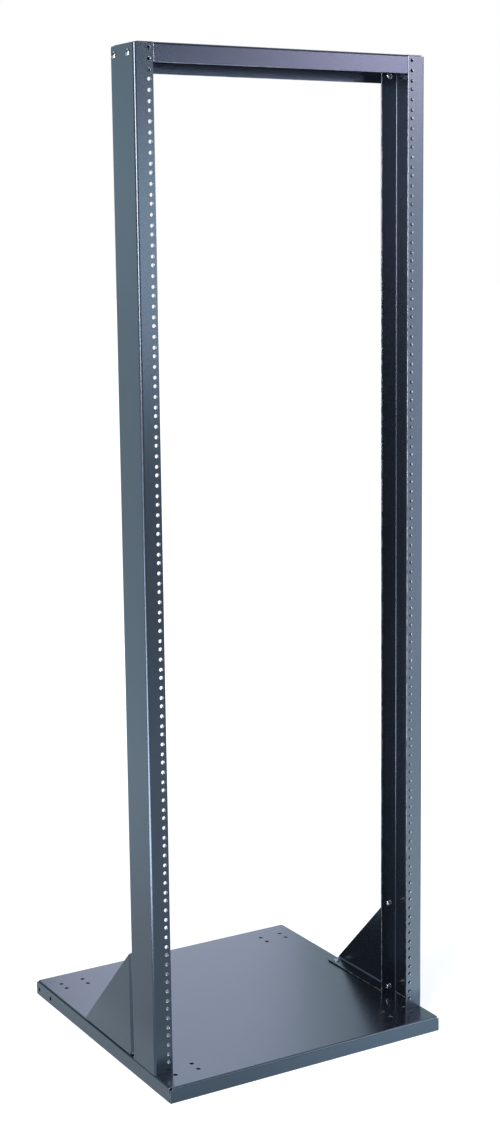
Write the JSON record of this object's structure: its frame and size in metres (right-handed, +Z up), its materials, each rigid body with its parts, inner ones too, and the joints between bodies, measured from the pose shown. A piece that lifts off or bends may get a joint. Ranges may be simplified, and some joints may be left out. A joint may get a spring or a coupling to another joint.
{
  "type": "two post open frame rack",
  "caption": "Two C-channel uprights with universal-pitch holes, bolted to a flat tray base by gussets and tied by a top crossmember.",
  "frame": {"origin": "on the floor, under the middle of the base", "axes": "+X across the rack to its right seen from the front, +Y to its back, +Z up along the uprights"},
  "size_m": [0.5144, 0.508, 1.6085],
  "materials": {
    "powder_coat": "satin",
    "zinc_bolt": "satin"
  },
  "bodies": {
    "root": {"base_tray": "powder_coat", "left_upright": "powder_coat", "right_upright": "powder_coat", "top_crossmember": "powder_coat", "left_gusset": "powder_coat", "right_gusset": "powder_coat"}
  },
  "joints": []
}
